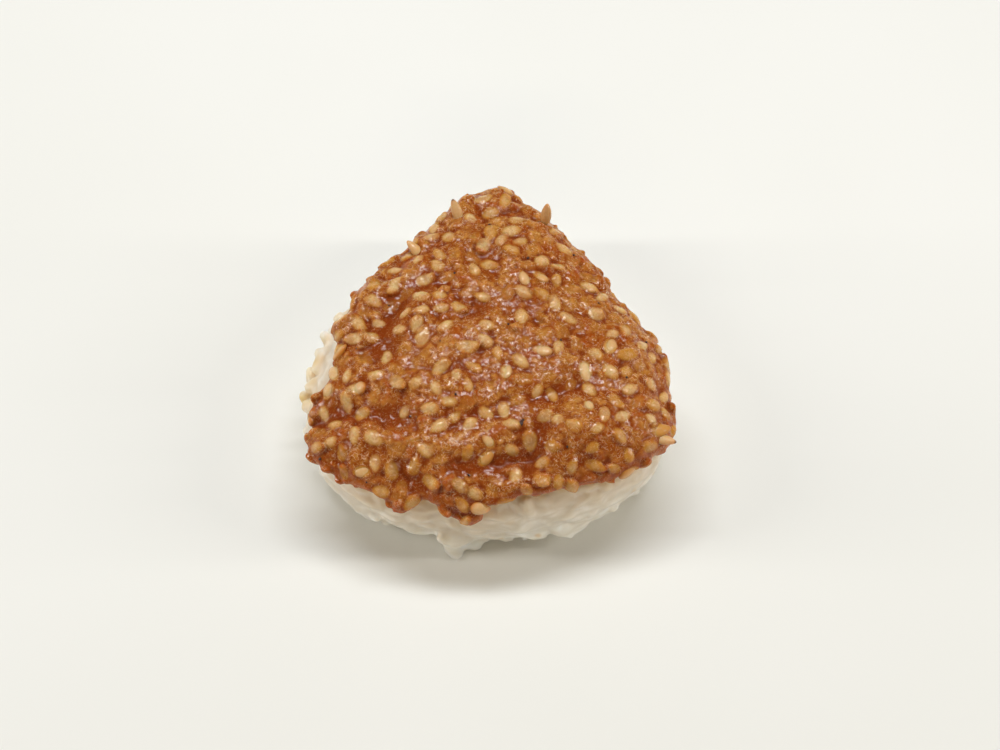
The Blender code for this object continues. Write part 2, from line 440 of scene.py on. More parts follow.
@dataclass(frozen=True)
class MattCard:
    """Warm white matt card: no pattern and no gleam, only a faint cloudiness."""

    name: str = "matt_white_card"
    white: str = "#F0F0EC"
    faint: str = "#ECECE7"
    cloud: Cloud = Cloud(120.0, 2.0, 0.3, 0.7)

    def make(self) -> bpy.types.Material:
        """Builds the material."""
        material, tree = blank_material(self.name)
        place = add_node(tree, "TexCoord").outputs["Object"]
        mixed = {"Factor": self.cloud.add(tree, place), "A": self.white, "B": self.faint}
        colour = add_node(tree, "Mix", mixed, data_type="RGBA")
        shader = add_node(tree, "BsdfPrincipled", {"Base Color": colour, "Roughness": 0.9})
        add_node(tree, "OutputMaterial", {"Surface": shader})
        return material


# ---------------------------------------------------------------- shapes and where they lie


@dataclass(frozen=True)
class Shape:
    """A closed form about the origin, its points in units of its half sizes."""

    points: Array
    faces: list[tuple[int, ...]]


@dataclass
class Lay:
    """Where many things of one kind lie: one row each."""

    centres: Array
    axes: Array  # rows of each 3 x 3: along, across and up
    halves: Array  # half length, half width, half thickness
    bends: Array | None = None  # how far the ends droop, in half lengths
    marks: dict[str, Array] = field(default_factory=dict)

    def picked(self, rows: Array) -> "Lay":
        """Keeps some rows.

        Args:
            rows: a mask or the numbers of the rows.

        Returns:
            The things in those rows.
        """
        bends = None if self.bends is None else self.bends[rows]
        marks = {name: values[rows] for name, values in self.marks.items()}
        return Lay(self.centres[rows], self.axes[rows], self.halves[rows], bends, marks)


    def joined_to(self, other: "Lay") -> "Lay":
        """Puts two sets together.

        Args:
            other: more things of the same kind, with the same marks.

        Returns:
            The things of both.
        """
        marks = {name: np.concatenate([values, other.marks[name]]) for name, values in self.marks.items()}
        bends = None if self.bends is None else np.concatenate([self.bends, other.bends])
        return Lay(
            np.concatenate([self.centres, other.centres]),
            np.concatenate([self.axes, other.axes]),
            np.concatenate([self.halves, other.halves]),
            bends,
            marks,
        )


def unit(vectors: Array) -> Array:
    """Vectors at length 1."""
    return vectors / np.maximum(np.linalg.norm(vectors, axis=-1, keepdims=True), 1e-12)


def lying(normals: Array, headings: Array, pitches: Array, rolls: Array) -> Array:
    """Axes of things that lie on a surface.

    Args:
        normals: the surface's normal under each thing.
        headings: which way each points along the surface, in radians.
        pitches: how far its tip lifts off the surface, in radians.
        rolls: how far it leans sideways, in radians.

    Returns:
        Rows along, across and up for each thing.
    """
    helper = np.where(np.abs(normals[:, 2:]) < 0.9, [[0.0, 0.0, 1.0]], [[0.0, 1.0, 0.0]])
    east = unit(np.cross(helper, normals))
    north = np.cross(normals, east)
    turn, lift, lean = (a[:, None] for a in (headings, pitches, rolls))
    flat = np.cos(turn) * east + np.sin(turn) * north
    across = np.cross(normals, flat)
    along = np.cos(lift) * flat + np.sin(lift) * normals
    up = np.cos(lift) * normals - np.sin(lift) * flat
    leant = np.cos(lean) * across + np.sin(lean) * up
    raised = np.cos(lean) * up - np.sin(lean) * across
    return np.stack([along, leant, raised], axis=1)


def round_shape(segments: int, rings: int, reshape: Callable[[Array], Array]) -> Shape:
    """A UV sphere with its poles on X, given another form.

    Args:
        segments: faces round the X axis.
        rings: faces from pole to pole.
        reshape: turns the sphere's points into the form's.

    Returns:
        The form.
    """
    bm = bmesh.new()
    bmesh.ops.create_uvsphere(bm, u_segments=segments, v_segments=rings, radius=1.0)
    points = np.array([(v.co.z, v.co.x, v.co.y) for v in bm.verts])
    faces = [tuple(v.index for v in f.verts) for f in bm.faces]
    bm.free()
    return Shape(reshape(points), faces)


def chip_shape(seed: float) -> Shape:
    """A broken crumb.

    Args:
        seed: a place in the noise field, another for each crumb.

    Returns:
        The form, a distorted ball of 80 faces.
    """
    bm = bmesh.new()
    bmesh.ops.create_icosphere(bm, subdivisions=2, radius=1.0)
    points = np.array([v.co * (1.0 + 0.45 * noise.noise(v.co * 1.3 + Vector((seed, 0, 0)))) for v in bm.verts])
    faces = [tuple(v.index for v in f.verts) for f in bm.faces]
    bm.free()
    return Shape(points, faces)


def seed_taper(along: Array) -> Array:
    """Half width of a sesame seed at each place along it, against its middle."""
    return 1.0 - 0.17 * along - 0.05 * along**2


def seed_form(points: Array) -> Array:
    """A sesame seed: a flat drop, blunt at -X and drawn to a point at +X."""
    along, across, up = points.T
    point = 0.05 * np.maximum(along, 0.0) ** 6
    return np.stack([along + point, across * seed_taper(along), up * seed_taper(along)], axis=1)


def grain_form(points: Array) -> Array:
    """A cooked grain of short rice: a plump rod with round ends."""
    along, across, up = points.T
    fill = np.sqrt((1.0 - np.abs(along) ** 2.8) / np.maximum(1.0 - along**2, 1e-9))
    fill = np.where(np.abs(along) > 0.999, 1.0, fill)
    return np.stack([along, across * fill, up * fill], axis=1)


def broken_form(points: Array) -> Array:
    """A piece of a broken grain: blocky, with blunt corners."""
    return points / np.abs(points).max(axis=1, keepdims=True) ** 0.7


def mesh_of(name: str, shape: Shape, lay: Lay, swell: float = 1.0) -> bpy.types.Mesh:
    """One mesh of a shape at every place.

    Args:
        name: the mesh's name.
        shape: the form to repeat.
        lay: where each one lies; its marks become attributes of the points.
        swell: a factor on every size.

    Returns:
        The mesh.
    """
    count, size = len(lay.centres), len(shape.points)
    local = np.repeat(shape.points[None], count, axis=0)
    if lay.bends is not None:
        local[:, :, 2] -= lay.bends[:, None] * local[:, :, 0] ** 2
    local = local * (lay.halves * swell)[:, None, :]
    points = lay.centres[:, None, :] + np.einsum("nki,nij->nkj", local, lay.axes)
    mesh = bpy.data.meshes.new(name)
    faces = [tuple(i * size + v for v in face) for i in range(count) for face in shape.faces]
    mesh.from_pydata(points.reshape(-1, 3), [], faces)
    for mark, values in lay.marks.items():
        spread = np.repeat(values, size) if values.ndim == 1 else values.reshape(-1)
        set_mark(mesh, mark, spread)
    mesh.shade_smooth()
    return mesh


def set_mark(mesh: bpy.types.Mesh, name: str, values: Array) -> None:
    """Stores a number at every point of a mesh.

    Args:
        mesh: the mesh.
        name: the attribute's name, which its material reads.
        values: one number for each point.
    """
    attribute = mesh.attributes.new(name, "FLOAT", "POINT")
    attribute.data.foreach_set("value", np.ascontiguousarray(values, dtype=np.float32))


def joined(name: str, meshes: Sequence[bpy.types.Mesh]) -> bpy.types.Mesh:
    """Puts meshes together in one.

    Args:
        name: the new mesh's name.
        meshes: the meshes.

    Returns:
        One mesh with all their faces.
    """
    bm = bmesh.new()
    for mesh in meshes:
        bm.from_mesh(mesh)
    whole = bpy.data.meshes.new(name)
    bm.to_mesh(whole)
    bm.free()
    return whole


def fused(name: str, meshes: Sequence[bpy.types.Mesh], voxel: float, passes: int) -> bpy.types.Mesh:
    """Melts overlapping closed meshes into one skin.

    Args:
        name: the new mesh's name.
        meshes: the closed meshes.
        voxel: size of the remesh's cells.
        passes: rounds of smoothing, which fill the creases between them.

    Returns:
        The skin.
    """
    whole = joined(name, meshes)
    obj = bpy.data.objects.new(name, whole)
    bpy.context.scene.collection.objects.link(obj)
    remesh = obj.modifiers.new("melt", "REMESH")
    remesh.mode = "VOXEL"
    remesh.voxel_size = voxel
    soften = obj.modifiers.new("soften", "SMOOTH")
    soften.factor = 0.5
    soften.iterations = passes
    depsgraph = bpy.context.evaluated_depsgraph_get()
    skin = bpy.data.meshes.new_from_object(obj.evaluated_get(depsgraph))
    bpy.data.objects.remove(obj)
    bpy.data.meshes.remove(whole)
    skin.name = name
    skin.shade_smooth()
    return skin


def thinned(mesh: bpy.types.Mesh, hidden: Array, limit: int) -> bpy.types.Mesh:
    """Gives a mesh fewer triangles where nobody sees them.

    Args:
        mesh: the mesh, which is used up.
        hidden: tells for each point whether it is out of sight.
        limit: how many triangles are wanted in all.

    Returns:
        The lighter mesh.
    """
    mesh.calc_loop_triangles()
    obj = bpy.data.objects.new(mesh.name, mesh)
    bpy.context.scene.collection.objects.link(obj)
    group = obj.vertex_groups.new(name="hidden")
    group.add(np.flatnonzero(hidden).tolist(), 1.0, "REPLACE")
    thin = obj.modifiers.new("thin", "DECIMATE")
    thin.vertex_group = group.name
    thin.ratio = min(1.0, limit / len(mesh.loop_triangles))
    depsgraph = bpy.context.evaluated_depsgraph_get()
    light = bpy.data.meshes.new_from_object(obj.evaluated_get(depsgraph))
    name = mesh.name
    bpy.data.objects.remove(obj)
    bpy.data.meshes.remove(mesh)
    light.name = name
    keep_body(light)
    light.shade_smooth()
    return light


def keep_body(mesh: bpy.types.Mesh) -> None:
    """Drops the small closed bits that fusing leaves apart from the main body.

    Args:
        mesh: changed in place.
    """
    bm = bmesh.new()
    bm.from_mesh(mesh)
    unseen = dict.fromkeys(bm.verts)
    bodies = []
    while unseen:
        body, edge = [], [unseen.popitem()[0]]
        while edge:
            point = edge.pop()
            body.append(point)
            near = [link.other_vert(point) for link in point.link_edges]
            edge += [other for other in near if unseen.pop(other, point) is None]
        bodies.append(body)
    bodies.sort(key=len)
    bmesh.ops.delete(bm, geom=[point for body in bodies[:-1] for point in body], context="VERTS")
    bm.to_mesh(mesh)
    bm.free()


def points_of(mesh: bpy.types.Mesh) -> Array:
    """A mesh's points, one row each."""
    points = np.empty(len(mesh.vertices) * 3, np.float32)
    mesh.vertices.foreach_get("co", points)
    return points.reshape(-1, 3).astype(float)


def normals_of(mesh: bpy.types.Mesh) -> Array:
    """The normals at a mesh's points, one row each."""
    normals = np.empty(len(mesh.vertices) * 3, np.float32)
    mesh.vertex_normals.foreach_get("vector", normals)
    return normals.reshape(-1, 3).astype(float)


def move_points(mesh: bpy.types.Mesh, points: Array) -> None:
    """Gives a mesh's points new places."""
    mesh.vertices.foreach_set("co", np.ascontiguousarray(points, dtype=np.float32).reshape(-1))
    mesh.update()


def relief(points: Array, layers: Sequence[tuple[float, float]], seed: float) -> Array:
    """Height of a noisy surface.

    Args:
        points: where, one row each.
        layers: (size across, height) of each layer of noise.
        seed: a place in the noise field.

    Returns:
        A height for each point.
    """
    total = np.zeros(len(points))
    for size, height in layers:
        shift = Vector((seed, -seed, seed * 0.5))
        total += height * np.array([noise.noise(Vector(p) / size + shift) for p in points])
    return total


def neighbour_mean(mesh: bpy.types.Mesh, values: Array, passes: int) -> Array:
    """Averages values over a mesh's edges, again and again.

    Args:
        mesh: the mesh.
        values: one row for each point.
        passes: how many rounds.

    Returns:
        The smoothed values.
    """
    edges = np.empty(len(mesh.edges) * 2, np.int32)
    mesh.edges.foreach_get("vertices", edges)
    a, b = edges.reshape(-1, 2).T
    count = np.maximum(np.bincount(a, minlength=len(values)) + np.bincount(b, minlength=len(values)), 1)
    for _ in range(passes):
        sums = [
            np.bincount(a, column[b], len(values)) + np.bincount(b, column[a], len(values))
            for column in values.T
        ]
        values = np.stack(sums, axis=1) / count[:, None]
    return values


@dataclass
class Surface:
    """Part of a solid's outside, as triangles to lay things on."""

    corners: Array
    normals: Array
    areas: Array

    @classmethod
    def of(cls, mesh: bpy.types.Mesh, keep: Callable[[Array, Array], Array]) -> "Surface":
        """Takes the triangles that are wanted.

        Args:
            mesh: the solid's mesh.
            keep: tells which are wanted, from their middles and normals.

        Returns:
            Those triangles.
        """
        mesh.calc_loop_triangles()
        rows = np.array([t.vertices[:] for t in mesh.loop_triangles])
        corners = points_of(mesh)[rows]
        cross = np.cross(corners[:, 1] - corners[:, 0], corners[:, 2] - corners[:, 0])
        wanted = keep(corners.mean(axis=1), unit(cross))
        return cls(corners[wanted], unit(cross[wanted]), np.linalg.norm(cross[wanted], axis=1) / 2.0)

    def spots(self, spacing: float, rng: np.random.Generator, crowding: float = 9.0) -> tuple[Array, Array]:
        """Scatters places that keep their distance.

        Args:
            spacing: the least distance between two places.
            rng: source of chance.
            crowding: how many tries are made on each spacing squared of surface.

        Returns:
            The places and the normals there.
        """
        tries = int(self.areas.sum() / spacing**2 * crowding)
        rows = rng.choice(len(self.areas), tries, p=self.areas / self.areas.sum())
        u, v = rng.random((2, tries, 1))
        flip = u + v > 1.0
        u, v = np.where(flip, 1.0 - u, u), np.where(flip, 1.0 - v, v)
        first, second, third = self.corners[rows].transpose(1, 0, 2)
        found = first + u * (second - first) + v * (third - first)
        kept: list[int] = []
        cells: dict[tuple[int, ...], list[int]] = {}
        near = [(i, j, k) for i in (-1, 0, 1) for j in (-1, 0, 1) for k in (-1, 0, 1)]
        for row, point in enumerate(found):
            cell = tuple(int(c) for c in np.floor(point / spacing))
            close = (o for n in near for o in cells.get(tuple(c + s for c, s in zip(cell, n)), ()))
            if all(((found[o] - point) ** 2).sum() >= spacing**2 for o in close):
                kept.append(row)
                cells.setdefault(cell, []).append(row)
        return found[kept], self.normals[rows[kept]]


def add_piece(
    mesh: bpy.types.Mesh, material: bpy.types.Material, node: str
) -> bpy.types.Object:
    """Shows a mesh as a piece of the object.

    Args:
        mesh: the finished mesh, whose name the piece takes.
        material: its finish.
        node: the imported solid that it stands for.

    Returns:
        The piece.
    """
    piece = bpy.data.objects.new(mesh.name, mesh)
    bpy.context.scene.collection.objects.link(piece)
    mesh.materials.clear()
    mesh.materials.append(material)
    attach(piece, BODY)
    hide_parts(node)
    mesh.calc_loop_triangles()
    log.info("%s: %d triangles", piece.name, len(mesh.loop_triangles))
    return piece


def solid_mesh(node: str) -> bpy.types.Mesh:
    """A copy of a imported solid's mesh, with the points along its seams welded.

    Args:
        node: the solid's name.

    Returns:
        The copy, closed.
    """
    bm = bmesh.new()
    bm.from_mesh(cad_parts[node].data)
    bmesh.ops.remove_doubles(bm, verts=bm.verts, dist=0.001 * MM)
    mesh = bpy.data.meshes.new(node + "_copy")
    bm.to_mesh(mesh)
    bm.free()
    mesh.materials.clear()
    return mesh


# ---------------------------------------------------------------- the rice


# Broken grains of the clump at the foot: place in it, half sizes in millimetres, heading in degrees.
CLUMP = (
    (0.0, 0.9, 0.9, 3.8, 2.0, 1.6, 0.0),
    (-0.4, -0.8, 0.1, 3.0, 1.9, 1.5, 15.0),
    (-1.0, -1.4, -0.3, 2.3, 1.8, 1.4, 65.0),
    (2.0, -0.6, 0.1, 2.2, 1.6, 1.3, -25.0),
)

# Near these points, in millimetres, grains stick out of the ball's left side.
SNAGS = (
    (-34.0, -9.5, 14.0),
    (-34.0, -7.5, 10.0),
    (-34.0, -5.5, 15.0),
    (-34.0, -3.0, 12.0),
    (-33.0, 0.0, 16.0),
    (-33.0, 2.0, 10.5),
    (-32.0, 4.5, 14.5),
    (-30.5, 8.0, 11.5),
    (-29.0, 9.5, 16.0),
)


@dataclass
class PressedRice:
    """Grains pressed together over a core, and a few that stand out on their own."""

    node: str = "rice"
    slot: str = "rice"
    topping: str = "sesame_miso"
    grain: tuple[float, float, float] = (3.1 * MM, 1.2 * MM, 1.0 * MM)  # half sizes
    spacing: float = 2.2 * MM
    core_depth: float = 0.4 * MM  # of the core under the solid's outline
    grain_sink: float = 1.05 * MM  # of a pressed grain's middle under the outline
    end: tuple[float, float, float] = (1.6 * MM, 1.1 * MM, 0.9 * MM)  # half sizes of a broken end
    snag: tuple[float, float, float] = (2.4 * MM, 1.2 * MM, 1.0 * MM)  # half sizes of a loose grain
    end_spacing: float = 3.2 * MM
    scrap: tuple[float, float, float] = (0.75 * MM, 0.5 * MM, 0.45 * MM)  # half sizes of a scrap of grain
    scrap_spacing: float = 2.4 * MM
    end_rise: float = 0.3 * MM
    foot_height: float = 2.4 * MM  # ends stand out below this
    clump: tuple[float, float, float] = (-5.0 * MM, -29.8 * MM, 1.5 * MM)  # grains that hang out at the front
    voxel: float = 0.3 * MM
    soften: int = 10
    most_triangles: int = 165_000
    wrinkles: tuple[tuple[float, float], ...] = ((2.6 * MM, 0.08 * MM), (0.9 * MM, 0.03 * MM))
    ragged: tuple[tuple[float, float], ...] = ((1.9 * MM, 0.7 * MM), (0.9 * MM, 0.15 * MM))
    ragged_height: float = 3.5 * MM  # the foot is ragged below this
    covered_height: float = 19.0 * MM  # above this the topping hides the rice
    stain_reach: float = 2.4 * MM
    snag_reach: float = 7.0 * MM
    # reach of the painted shade under the paste's lip
    lip_shade_reach: float = 11.0 * MM
    finish: CookedRice = CookedRice()

    def lay(
        self, half: Sequence[float], spacing: float, sink: float, pitch: float, top: float, rng: np.random.Generator
    ) -> Lay:
        """Lays grains or their ends on the ball's side and foot.

        Args:
            half: half sizes of one.
            spacing: the least distance between two.
            sink: depth of their middles under the outline.
            pitch: spread of how far their tips lift, in radians.
            top: none lies above this height.
            rng: source of chance.

        Returns:
            Where they lie.
        """
        surface = Surface.of(solid_mesh(self.node), lambda middles, normals: middles[:, 2] < top)
        centres, normals = surface.spots(spacing, rng)
        count = len(centres)
        heading = np.where(rng.random(count) < 0.7, rng.normal(0.0, 0.4, count), rng.uniform(0, math.pi, count))
        axes = lying(normals, heading, rng.normal(0.0, pitch, count), rng.normal(0.0, 0.3, count))
        halves = np.array(half) * rng.uniform(0.82, 1.12, (count, 1)) * rng.uniform(0.93, 1.07, (count, 3))
        depth = sink + rng.normal(0.0, 0.14 * MM, count)
        return Lay(centres - normals * depth[:, None], axes, halves, rng.uniform(-0.1, 0.5, count))

    def ends(self, rng: np.random.Generator) -> Lay:
        """Broken grain ends that make the foot ragged, and the clump that hangs out in front.

        Args:
            rng: source of chance.

        Returns:
            Where they lie.
        """
        foot = self.lay(self.end, self.end_spacing, -self.end_rise, 0.5, self.foot_height, rng)
        foot.halves *= rng.uniform(0.45, 1.15, (len(foot.centres), 1))
        places, halves = np.array([row[:3] for row in CLUMP]) * MM, np.array([row[3:6] for row in CLUMP]) * MM
        count = len(CLUMP)
        slopes = unit(np.tile((0.1, -0.7, 0.7), (count, 1)))
        axes = lying(slopes, np.radians([row[6] for row in CLUMP]), np.zeros(count), np.zeros(count))
        clump = Lay(np.array(self.clump) + places, axes, halves, np.zeros(count))
        return foot.joined_to(clump).joined_to(self.snags(rng))

    def scraps(self, rng: np.random.Generator) -> Lay:
        """Small scraps of grain along the foot.

        Args:
            rng: source of chance.

        Returns:
            Where they lie.
        """
        scraps = self.lay(self.scrap, self.scrap_spacing, 0.0, 0.6, self.foot_height, rng)
        scraps.halves *= rng.uniform(0.7, 1.4, (len(scraps.centres), 1))
        return scraps

    def snags(self, rng: np.random.Generator) -> Lay:
        """Grains that have pulled loose at the left, where the topping stops short.

        Args:
            rng: source of chance.

        Returns:
            Where they lie.
        """
        bm = bmesh.new()
        bm.from_mesh(solid_mesh(self.node))
        tree = BVHTree.FromBMesh(bm)
        bm.free()
        near = [tree.find_nearest(Vector(place) * MM)[:2] for place in SNAGS]
        centres, normals = np.array([point for point, _ in near]), np.array([normal for _, normal in near])
        count = len(near)
        axes = lying(normals, rng.uniform(0, math.pi, count), rng.normal(0.0, 0.4, count), np.zeros(count))
        halves = np.array(self.snag) * rng.uniform(0.75, 1.1, (count, 3))
        return Lay(centres, axes, halves, np.zeros(count))

    def core(self) -> bpy.types.Mesh:
        """The rice inside the outer grains: the solid's form, a grain's skin smaller."""
        mesh = solid_mesh(self.node)
        move_points(mesh, points_of(mesh) - normals_of(mesh) * self.core_depth)
        return mesh

    def stains(self, points: Array) -> tuple[Array, Array]:
        """How far sauce has soaked in under the topping's hem, and how far the painted shade under its lip reaches.

        Args:
            points: points of the rice.

        Returns:
            Shares from 0 to 1 for each point: soaked, and painted shade under the lip, stronger at the front and
                tinted by painted light through the sauce.
        """
        bm = bmesh.new()
        bm.from_mesh(solid_mesh(self.topping))
        tree = BVHTree.FromBMesh(bm)
        bm.free()
        gap = np.array([tree.find_nearest(Vector(point))[3] for point in points])
        patchy = 0.5 + relief(points, ((3.0 * MM, 0.9),), 8.0)
        loose = kdtree.KDTree(len(SNAGS))
        for row, place in enumerate(SNAGS):
            loose.insert(Vector(place) * MM, row)
        loose.balance()
        off = np.array([loose.find(Vector(point))[2] for point in points])
        soaked = np.maximum(1.0 - gap / self.stain_reach, 1.0 - off / self.snag_reach)
        soaked = np.clip(soaked * patchy, 0.0, 0.9)
        # painted shade: stronger towards the front, the side away from the lamps
        front = np.clip(0.45 - points[:, 1] / (50.0 * MM), 0.3, 1.0)
        return soaked, 0.7 * front * np.clip(1.0 - gap / self.lip_shade_reach, 0.0, 1.0)

    def build(self) -> None:
        """Builds the pressed rice."""
        rng = np.random.default_rng(11)
        grain, everywhere = round_shape(10, 9, grain_form), self.covered_height
        pressed = self.lay(self.grain, self.spacing, self.grain_sink, 0.1, everywhere, rng)
        parts = [
            self.core(),
            mesh_of("grains", grain, pressed),
            mesh_of("ends", round_shape(12, 9, broken_form), self.ends(rng)),
            mesh_of("scraps", round_shape(10, 7, broken_form), self.scraps(rng)),
        ]
        skin = fused("rice_skin", parts, self.voxel, self.soften)
        points = points_of(skin)
        skin = thinned(skin, (points[:, 2] > everywhere) | (points[:, 2] < 0.4 * MM), self.most_triangles)
        points = points_of(skin)
        uneven = relief(points, self.wrinkles, 2.2)
        uneven += relief(points, self.ragged, 7.3) * np.clip(1.0 - points[:, 2] / self.ragged_height, 0.0, 1.0)
        move_points(skin, points + normals_of(skin) * uneven[:, None])
        skin.name = "pressed_rice"
        points = points_of(skin)
        points[:, 2] = np.maximum(points[:, 2], 0.0)
        move_points(skin, points)
        soaked, lip_shade_share = self.stains(points)
        set_mark(skin, "stain", soaked)
        set_mark(skin, "lip_shade", lip_shade_share)
        add_piece(skin, self.finish.make(), self.node)


# ---------------------------------------------------------------- the topping


class Coat(Enum):
    """How much sauce a seed wears: share of seeds, size of its bump against it, sink, thickness of film."""

    BARE = (0.1, 0.9, 0.5, 0.0)
    FILMED = (0.58, 1.03, 0.4, 0.04)
    SUNK = (0.32, 1.1, 0.9, 0.3)

    @property
    def share(self) -> float:
        """Share of the seeds that are coated so."""
        return self.value[0]

    @property
    def swell(self) -> float:
        """Size of the paste over the seed, against the seed."""
        return self.value[1]

    @property
    def sink(self) -> float:
        """Depth of the seed's middle, in half thicknesses under the bare paste."""
        return self.value[2]

    @property
    def film(self) -> float:
        """Thickness of the sauce over the seed, in millimetres."""
        return self.value[3]


@dataclass(frozen=True)
class Swell:
    """A soft heap or furrow in the paste: a line seen from above, in millimetres."""

    start: tuple[float, float]
    end: tuple[float, float]
    spread: float
    rise: float

    def height(self, points: Array) -> Array:
        """How far it lifts each point.

        Args:
            points: places, one row each.

        Returns:
            A height for each, in metres, below 0 in a furrow.
        """
        first, last = np.array(self.start) * MM, np.array(self.end) * MM
        way = last - first
        along = np.clip((points[:, :2] - first) @ way / max(way @ way, 1e-12), 0.0, 1.0)
        gap = np.linalg.norm(points[:, :2] - first - along[:, None] * way, axis=1)
        return self.rise * MM * np.exp(-((gap / (self.spread * MM)) ** 2))


SWELLS = (
    Swell((15.0, -20.5), (23.0, -20.0), 5.5, 1.2),  # the heap at the right of the front
    Swell((8.0, -13.9), (14.5, -11.6), 1.5, -0.5),  # the furrow behind it
    Swell((8.8, -18.5), (7.6, -24.0), 1.7, -0.8),  # the hollow beside it
    Swell((6.5, -25.2), (-6.0, -25.8), 1.7, -0.75),
    Swell((-29.0, -15.7), (-15.0, -17.0), 2.0, -0.7),
    Swell((-15.7, 5.7), (-18.3, -4.0), 3.0, -0.6),
    Swell((-15.5, -26.0), (-11.0, -28.5), 1.8, -0.7),
    Swell((-3.0, 3.0), (4.0, 6.0), 2.5, -0.4),
    Swell((-9.0, 13.0), (-13.0, 9.0), 2.0, -0.5),
    Swell((1.4, 30.4), (1.6, 28.0), 2.3, 1.7),
    Swell((-4.0, 27.6), (-6.5, 24.6), 2.0, 1.2),
    Swell((-12.2, 20.0), (-12.4, 18.6), 1.5, 1.0),
    Swell((-22.3, 7.5), (-21.8, 8.5), 1.8, 0.8),
    Swell((-25.0, 1.5), (-24.6, 2.5), 1.6, 0.7),
)


# Things that stand out on the paste: x, y and rise over it in millimetres, heading and pitch in degrees.
STRAYS = (
    (10.2, 24.0, 2.3, 75.0, 70.0),
    (-6.0, 24.6, 0.6, 118.0, 48.0),
    (-13.2, 17.2, 0.2, 140.0, 25.0),
    (29.6, -19.5, 0.2, -20.0, 10.0),
)
FLAKES = (
    (5.2, -18.8, 0.05, 25.0, 6.0),
    (5.6, -18.5, 0.0, 70.0, 0.0),
)


@dataclass
class SesameMiso:
    """The paste with whole seeds, ground seed and scorched crumbs in it."""

    node: str = "sesame_miso"
    slot: str = "sesame_miso"
    seed: tuple[float, float, float] = (1.78 * MM, 1.14 * MM, 0.68 * MM)  # half sizes
    seed_spacing: float = 2.7 * MM
    voxel: float = 0.25 * MM
    soften: int = 6
    most_triangles: int = 192_000
    stray: tuple[float, float, float] = (2.3 * MM, 1.0 * MM, 0.65 * MM)  # of a split seed
    flake: tuple[float, float, float] = (0.7 * MM, 0.42 * MM, 0.14 * MM)  # half sizes of a scorched flake
    shrink: float = 0.35 * MM  # the bare paste under seeds and lumps lies this far in
    waves: tuple[tuple[float, float], ...] = ((9.0 * MM, 0.9 * MM), (4.5 * MM, 0.7 * MM))
    deepest: float = -0.35 * MM  # no chance dip goes lower, because the paste is thin
    core_height: float = 8.0 * MM  # a point inside the ball that the topping faces away from
    relief: tuple[tuple[float, float], ...] = ((2.8 * MM, 0.35 * MM), (1.0 * MM, 0.16 * MM))
    clear_film: float = 0.3  # sauce this thick, in mm, hides two thirds of a seed's colour
    seedless_depth: float = 0.55 * MM  # deeper dips hold sauce and no seeds
    ring_shade_most: float = 0.65  # of the dark ring drawn round a seed: sauce drawn in, and painted shade at its foot
    crease_depth: float = 0.2 * MM
    hollow_depth: float = 1.0 * MM
    shoulder: float = 4.0 * MM  # of the paste's side, under its top
    steep: float = 0.8  # upward part of the normal below which sauce has run off the seeds
    paste_finish: MisoPaste = MisoPaste()
    seed_finish: SesameHull = SesameHull()
    crumb_finish: ScorchedFleck = ScorchedFleck()

    def heart(self) -> Array:
        """A point inside the ball that the paste's outside faces away from."""
        return np.array([0.0, 0.0, self.core_height])

    def ground(self) -> bpy.types.Mesh:
        """The bare paste: the solid's form, a seed's skin smaller, with soft heaps and dips."""
        bm = bmesh.new()
        bm.from_mesh(solid_mesh(self.node))
        bmesh.ops.subdivide_edges(bm, edges=bm.edges, cuts=1, use_grid_fill=True, smooth=1.0)
        mesh = bpy.data.meshes.new("ground")
        bm.to_mesh(mesh)
        bm.free()
        points, normals = points_of(mesh), normals_of(mesh)
        outer = np.clip(((points - self.heart()) * unit(normals)).sum(axis=1) / (4.0 * MM), 0.0, 1.0)
        rise = np.maximum(relief(points, self.waves, 6.1), self.deepest) - self.shrink
        rise += sum(swell.height(points) for swell in SWELLS)
        move_points(mesh, points + normals * (rise * outer)[:, None])
        return mesh

    def outside(self, mesh: bpy.types.Mesh) -> Surface:
        """The outside of the paste, without the underside that lies on the rice."""
        return Surface.of(mesh, lambda middles, normals: ((middles - self.heart()) * normals).sum(axis=1) > 0.0)

    def brim(self) -> float:
        """Height of the paste's rounded shoulder: below it the side falls away."""
        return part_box(self.node)[1].z - self.shoulder

    def seeds(self, surface: Surface, rng: np.random.Generator) -> tuple[Lay, Array]:
        """Lays the seeds.

        Args:
            surface: the outside of the bare paste.
            rng: source of chance.

        Returns:
            Where they lie, and the coat of each as its place in Coat.
        """
        centres, normals = surface.spots(self.seed_spacing, rng, crowding=5.0)
        thin = rng.random(len(centres)) > np.where(normals[:, 2] < 0.5, 0.15, 0.0)
        kept = thin & (self.dug(centres) < self.seedless_depth)
        centres, normals = centres[kept], normals[kept]
        count, kinds = len(centres), list(Coat)
        coats = rng.choice(len(kinds), count, p=[kind.share for kind in kinds])
        washed = (normals[:, 2] < self.steep) & (coats == kinds.index(Coat.SUNK))
        coats = np.where(washed, kinds.index(Coat.FILMED), coats)
        halves = np.array(self.seed) * rng.uniform(0.78, 1.12, (count, 1)) * rng.uniform(0.92, 1.08, (count, 3))
        pitch = rng.normal(0.0, 0.16, count) + np.where(rng.random(count) < 0.1, 0.6, 0.0)
        axes = lying(normals, rng.uniform(0, 2 * math.pi, count), pitch, rng.normal(0.0, 0.22, count))
        sink = np.array([kinds[coat].sink for coat in coats]) * halves[:, 2]
        sink = np.where(normals[:, 2] < self.steep, 0.7, 1.0) * sink
        # painted shade: seeds on steep sides that face the front are drawn darker, towards honey
        soaked = 0.6 * (normals[:, 2] < self.steep) * self.facing(normals)
        tone = np.clip(rng.normal(0.15, 0.22, count) + soaked, 0.0, 1.0)
        tone = np.where(coats == kinds.index(Coat.SUNK), 0.9, tone)
        return Lay(centres - normals * sink[:, None], axes, halves, None, {"tone": tone}), coats

